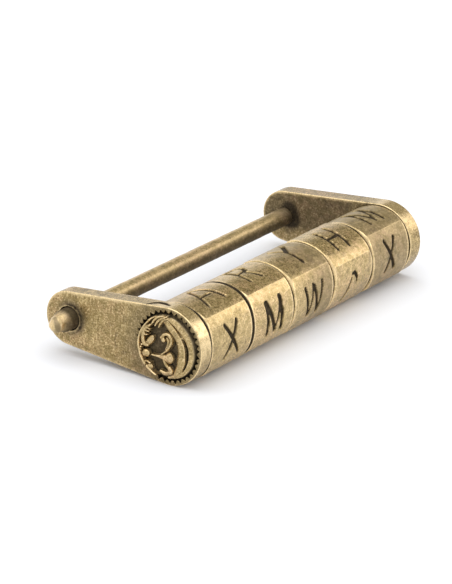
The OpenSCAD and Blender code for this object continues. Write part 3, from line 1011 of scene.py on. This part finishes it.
def weather_bar(made):
    """A painted highlight on the crest, a worn nose painted bright as a highlight, painted shade underneath,
    grime and painted shade in the plate's hole, and a painted shadow at the far plate.
    """
    found = lock_points(made.data)
    along = found[:, 0]
    turned = (np.degrees(np.arctan2(BAR_V - found[:, 1], found[:, 2])) + 90) % 360 - 90
    # Painted shade on the bar's underside
    under_shade = smooth((turned - 30) / 60) * (1 - smooth((turned - 230) / 40)) * UNDER_SHADE
    # Painted highlight along the crest
    crest = bell(turned, CREST_ANGLE, CREST_REACH) * CREST_HIGHLIGHT
    tip = 1 - smooth((along - BAR_TIP - 1.2) / 2.2)
    pits = tip * PIT_GRIME * smooth(waves(found, 1.5, 73) + 0.1)
    # Grime and painted shade where the bar sits in the plate's hole
    in_hole = smooth((along + 4.1) / 2.6) * (1 - smooth((along - HEAD_END) / 0.8)) * HOLE_GRIME_AND_SHADE
    # Painted shadow at the bar's base by the far plate
    base_shadow = bell(along, FAR_FACE, BASE_REACH) * BASE_SHADOW
    paint(made, "wear_and_highlight", np.maximum(crest, NOSE_WEAR_AND_HIGHLIGHT * tip))
    paint(made, "dirt_and_shade", np.maximum.reduce([in_hole, base_shadow, under_shade * (1 - tip), pits]))


# ---- materials

class Nodes:
    """A short way to write a material's nodes."""

    def __init__(self, name):
        self.material = bpy.data.materials.new(name)
        self.material.use_nodes = True
        self.tree = self.material.node_tree
        self.shader = self.tree.nodes["Principled BSDF"]
        self.place = self.tree.nodes.new("ShaderNodeTexCoord").outputs["Object"]

    def put(self, source, socket):
        """Links a socket, or sets a constant on the socket itself."""
        if isinstance(source, bpy.types.NodeSocket):
            self.tree.links.new(source, socket)
        else:
            socket.default_value = source

    def noise(self, size_mm, detail=3.0, roughness=0.55, distortion=0.0, squeeze=1.0):
        """Noise with bumps about size_mm across, longer along the lock where squeeze is below 1."""
        place = self.tree.nodes.new("ShaderNodeVectorMath")
        place.operation = "MULTIPLY"
        self.put(self.place, place.inputs[0])
        place.inputs[1].default_value = (squeeze, 1, 1)
        node = self.tree.nodes.new("ShaderNodeTexNoise")
        node.inputs["Scale"].default_value = 1 / (size_mm * MM)
        node.inputs["Detail"].default_value = detail
        node.inputs["Roughness"].default_value = roughness
        node.inputs["Distortion"].default_value = distortion
        self.put(place.outputs[0], node.inputs["Vector"])
        return node.outputs["Fac"]

    def step(self, value, low, high, out_low=0.0, out_high=1.0):
        """A smooth ramp of value between low and high."""
        node = self.tree.nodes.new("ShaderNodeMapRange")
        node.interpolation_type = "SMOOTHSTEP"
        for socket, number in zip(list(node.inputs)[1:5], (low, high, out_low, out_high)):
            socket.default_value = number
        self.put(value, node.inputs[0])
        return node.outputs[0]

    def math(self, operation, a, b=0.0):
        """One sum, product or difference, clamped unless it is a difference."""
        node = self.tree.nodes.new("ShaderNodeMath")
        node.operation = operation
        node.use_clamp = operation != "SUBTRACT"
        self.put(a, node.inputs[0])
        self.put(b, node.inputs[1])
        return node.outputs[0]

    def mix(self, share, a, b):
        """Colour a, turning to b as share goes from 0 to 1."""
        node = self.tree.nodes.new("ShaderNodeMix")
        node.data_type = "RGBA"
        node.clamp_factor = True
        self.put(share, node.inputs[0])
        self.put(a, node.inputs[6])
        self.put(b, node.inputs[7])
        return node.outputs[2]

    def layer(self, name):
        """A layer painted on the mesh, such as rubbing with painted highlight, or grime with painted shade.
        """
        node = self.tree.nodes.new("ShaderNodeAttribute")
        node.attribute_name = name
        return node.outputs["Fac"]

    def bump(self, height, distance_mm, strength):
        """Bumps the surface by height."""
        node = self.tree.nodes.new("ShaderNodeBump")
        node.inputs["Strength"].default_value = strength
        node.inputs["Distance"].default_value = distance_mm * MM
        self.put(height, node.inputs["Height"])
        self.put(node.outputs["Normal"], self.shader.inputs["Normal"])


def colour(red, green, blue):
    """An opaque colour."""
    return (red, green, blue, 1.0)


def antique_brass(name, dull, warm, bright, relief=0.08, rough=0.29, metal=0.94):
    """Brass with a brown patina: dull and warm patches, stains, pale speckle, bright edges with painted
    highlights, dark hollows with painted shade.
    """
    n = Nodes(name)
    patches = n.noise(5.5, 3)
    mottle = n.noise(1.4, 4, 0.62, 0.3)
    speckle = n.noise(0.42, 3, 0.62)
    grain = n.noise(0.14, 2, 0.6)
    hue = n.noise(12, 2)
    stains = n.noise(2.6, 5, 0.68, 0.6)
    streaks = n.noise(0.3, 2, 0.5, 0.2, squeeze=0.1)
    rosy = colour(warm[0] * 1.05, warm[1] * 0.94, warm[2] * 1.12)
    base = n.mix(n.step(mottle, 0.36, 0.64), dull, n.mix(n.step(hue, 0.42, 0.6), warm, rosy))
    tone = n.mix(n.step(patches, 0.3, 0.7, 0.0, 0.5), base, dull)
    flecks = n.math("MULTIPLY", n.step(speckle, 0.5, 0.64), n.step(mottle, 0.35, 0.6, 0.25, 0.7))
    tone = n.mix(flecks, tone, bright)
    tone = n.mix(n.step(streaks, 0.58, 0.74, 0.0, 0.35), tone, bright)
    pits = n.math("MULTIPLY", n.step(speckle, 0.45, 0.33), 0.3)
    tone = n.mix(pits, tone, GRIME_AND_SHADE)
    tone = n.mix(n.step(stains, 0.53, 0.68, 0.0, 0.42), tone, GRIME_AND_SHADE)
    # The painted layers: rubbed places and painted highlights turn bright, grime and painted shade turn dark
    wear_and_highlight = n.math("MULTIPLY", n.layer("wear_and_highlight"), n.step(mottle, 0.28, 0.55, 0.45, 1.0))
    tone = n.mix(wear_and_highlight, tone, bright)
    dirt_and_shade = n.math("MULTIPLY", n.layer("dirt_and_shade"), n.step(speckle, 0.2, 0.6, 1.0, 0.93))
    tone = n.mix(dirt_and_shade, tone, GRIME_AND_SHADE)
    n.put(tone, n.shader.inputs["Base Color"])
    n.put(n.step(dirt_and_shade, 0, 1, metal, 0.15), n.shader.inputs["Metallic"])
    n.put(n.step(dirt_and_shade, 0, 1, 0.5, 0.12), n.shader.inputs["Specular IOR Level"])
    worn_gloss = n.step(wear_and_highlight, 0, 1, 0.0, 0.1)
    uneven_gloss = n.math("SUBTRACT", n.step(speckle, 0.3, 0.7, rough - 0.06, rough + 0.14), worn_gloss)
    n.put(n.math("ADD", uneven_gloss, n.step(dirt_and_shade, 0, 1, 0, 0.3)), n.shader.inputs["Roughness"])
    uneven = n.math("ADD", n.math("MULTIPLY", speckle, 0.6), n.math("MULTIPLY", grain, 0.25))
    uneven = n.math("ADD", uneven, n.math("MULTIPLY", streaks, 0.15))
    n.bump(uneven, relief, 0.5)
    return n.material


def machined(name, base, shade, rough):
    """Turned metal inside the lock: fine scratches, faint stains and a low gloss."""
    n = Nodes(name)
    stain = n.noise(2.4, 4, 0.6, 0.4)
    fleck = n.noise(0.4, 3, 0.6)
    turned = n.tree.nodes.new("ShaderNodeTexWave")
    turned.bands_direction = "X"
    turned.inputs["Scale"].default_value = 1 / (0.5 * MM)
    turned.inputs["Distortion"].default_value = 1.5
    turned.inputs["Detail"].default_value = 2
    n.put(n.place, turned.inputs["Vector"])
    tone = n.mix(n.step(stain, 0.35, 0.7), base, shade)
    tone = n.mix(n.step(fleck, 0.55, 0.75, 0, 0.35), tone, shade)
    n.put(tone, n.shader.inputs["Base Color"])
    n.shader.inputs["Metallic"].default_value = 1.0
    n.put(n.step(stain, 0.3, 0.7, rough - 0.08, rough + 0.12), n.shader.inputs["Roughness"])
    relief = n.math("ADD", n.math("MULTIPLY", turned.outputs["Fac"], 0.3), n.math("MULTIPLY", fleck, 0.5))
    n.bump(relief, 0.02, 0.35)
    return n.material


# Near-black of grime, which also paints shade
GRIME_AND_SHADE = colour(0.014, 0.01, 0.006)
WHEEL_BRASS = antique_brass(
    "wheel_brass", colour(0.36, 0.262, 0.1), colour(0.56, 0.41, 0.18), colour(0.92, 0.7, 0.38)
)
PLATE_BRASS = antique_brass(
    "plate_brass", colour(0.265, 0.19, 0.075), colour(0.445, 0.325, 0.138), colour(0.87, 0.67, 0.368), 0.06
)
MASK_BRASS = antique_brass(
    "medallion_brass", colour(0.34, 0.245, 0.1), colour(0.52, 0.38, 0.175), colour(0.84, 0.65, 0.36), 0.06
)
BAR_BRASS = antique_brass(
    "rod_brass", colour(0.4, 0.29, 0.12), colour(0.58, 0.425, 0.19), colour(0.92, 0.71, 0.4), 0.065, 0.36
)
INNER_BRASS = machined("inner_brass", colour(0.62, 0.45, 0.2), colour(0.4, 0.27, 0.11), 0.34)
STEEL = machined("steel", colour(0.5, 0.49, 0.46), colour(0.3, 0.28, 0.25), 0.32)


def finish_inner_parts():
    """Better metal on the CAD parts that stay as they are."""
    steel = ["core_screw", "spindle_screw", "collar_pin"]
    steel += [f"lock_pin_{k + 1}" for k in range(WHEELS)]
    for node in ["core_sleeve", "retaining_collar", "lock_spindle"] + steel:
        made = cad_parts[node]
        made.data.materials.clear()
        made.data.materials.append(STEEL if node in steel else INNER_BRASS)


# ---- the lock

for number in range(WHEELS):
    build_wheel(number, WHEEL_BRASS)
near_plate = build_near_plate(PLATE_BRASS)
# The near plate: painted highlight on the disc's wall, grime and painted shade round the bar's hole
weather_plate(near_plate, (0, NEAR_T), NEAR_T, [(BAR_V, HOLE_R, 1.35, 0.8)], 0.8)
far_plate = build_far_plate(PLATE_BRASS)
# The far plate: grime and painted shade over its first face and round the bar
weather_plate(far_plate, (FAR_FACE, FAR_BACK), FAR_FACE, [(BAR_V, BAR_R, 2.9, 0.0)], 0.0, 0.66)
build_medallion(MASK_BRASS)
build_bar(BAR_BRASS)
finish_inner_parts()


# ---- floor, light and camera

FLOOR_HALF = 8.0
AIM = np.array([34.5, 9.0, -0.2])
DISTANCE = 690
AZIMUTH = math.radians(34.26)
ELEVATION = math.radians(21.03)
ROLL = math.radians(1.45)
LENS = 192.3
LIGHT_TARGET = np.array([42, 10, 0])


def build_floor():
    """A wide, plain pale floor under the lock."""
    mesh = bpy.data.meshes.new("floor")
    h = FLOOR_HALF
    mesh.from_pydata([(-h, -h, 0), (h, -h, 0), (h, h, 0), (-h, h, 0)], [], [(0, 1, 2, 3)])
    floor = bpy.data.objects.new("floor", mesh)
    bpy.context.scene.collection.objects.link(floor)
    n = Nodes("pale_floor")
    cloud = n.noise(90, 2)
    n.put(n.mix(cloud, colour(0.82, 0.83, 0.845), colour(0.845, 0.855, 0.87)), n.shader.inputs["Base Color"])
    n.shader.inputs["Roughness"].default_value = 0.75
    n.shader.inputs["Specular IOR Level"].default_value = 0.15
    mesh.materials.append(n.material)


def soft_light(name, direction, distance, size, power, tint=(1, 1, 1)):
    """An area light that shines on the lock from a direction in lock axes, in metres and watts."""
    light = bpy.data.lights.new(name, "AREA")
    light.shape = "RECTANGLE"
    light.size, light.size_y = size
    light.energy = power
    light.color = tint
    made = bpy.data.objects.new(name, light)
    away = Vector(direction).normalized()
    target = Vector((ORIGIN + LIGHT_TARGET) * MM)
    made.location = target + away * distance
    made.rotation_mode = "QUATERNION"
    made.rotation_quaternion = (-away).to_track_quat("-Z", "Y")
    bpy.context.scene.collection.objects.link(made)


FLAG_SIDE = (0.77, 0.15, 0.62)
FLAG_EDGE = (0.86, 0.95)
DOME = colour(1.13, 1.14, 1.18)
FLAG = colour(0.32, 0.3, 0.22)


def build_world():
    """A white studio dome with one dark patch, a flag high up beyond the lock."""
    world = bpy.data.worlds.new("studio")
    bpy.context.scene.world = world
    world.use_nodes = True
    tree = world.node_tree
    coords = tree.nodes.new("ShaderNodeTexCoord")
    toward = tree.nodes.new("ShaderNodeVectorMath")
    toward.operation = "DOT_PRODUCT"
    toward.inputs[1].default_value = FLAG_SIDE
    ramp = tree.nodes.new("ShaderNodeMapRange")
    ramp.interpolation_type = "SMOOTHSTEP"
    for socket, number in zip(list(ramp.inputs)[1:3], FLAG_EDGE):
        socket.default_value = number
    mix = tree.nodes.new("ShaderNodeMix")
    mix.data_type = "RGBA"
    mix.inputs[6].default_value = DOME
    mix.inputs[7].default_value = FLAG
    tree.links.new(coords.outputs["Generated"], toward.inputs[0])
    tree.links.new(toward.outputs["Value"], ramp.inputs[0])
    tree.links.new(ramp.outputs[0], mix.inputs[0])
    tree.links.new(mix.outputs[2], tree.nodes["Background"].inputs["Color"])
    tree.nodes["Background"].inputs["Strength"].default_value = 1.0


def build_camera():
    """A long lens aimed from the photo's angle."""
    look = Vector((
        math.cos(ELEVATION) * math.cos(AZIMUTH),
        math.cos(ELEVATION) * math.sin(AZIMUTH),
        -math.sin(ELEVATION),
    ))
    level = look.cross(Vector((0, 0, 1))).normalized()
    above = level.cross(look)
    right = level * math.cos(ROLL) + above * math.sin(ROLL)
    up = right.cross(look)
    camera = bpy.data.objects.new("camera", bpy.data.cameras.new("camera"))
    camera.data.lens = LENS
    camera.data.sensor_width = 36
    camera.data.clip_start = 0.05
    camera.data.clip_end = 60
    place = Vector((ORIGIN + AIM) * MM) - look * DISTANCE * MM
    turn = Matrix((right, up, -look)).transposed()
    camera.matrix_world = Matrix.Translation(place) @ turn.to_4x4()
    bpy.context.scene.collection.objects.link(camera)
    bpy.context.scene.camera = camera


build_floor()
build_world()
soft_light("key_box", (-0.15, 0.05, 0.98), 1.2, (1.5, 1.5), 7.0)
soft_light("side_box", (0.77, -0.54, 0.37), 1.0, (0.9, 0.42), 1.35, (1.0, 0.94, 0.89))
build_camera()
bpy.context.scene.view_settings.view_transform = "Standard"
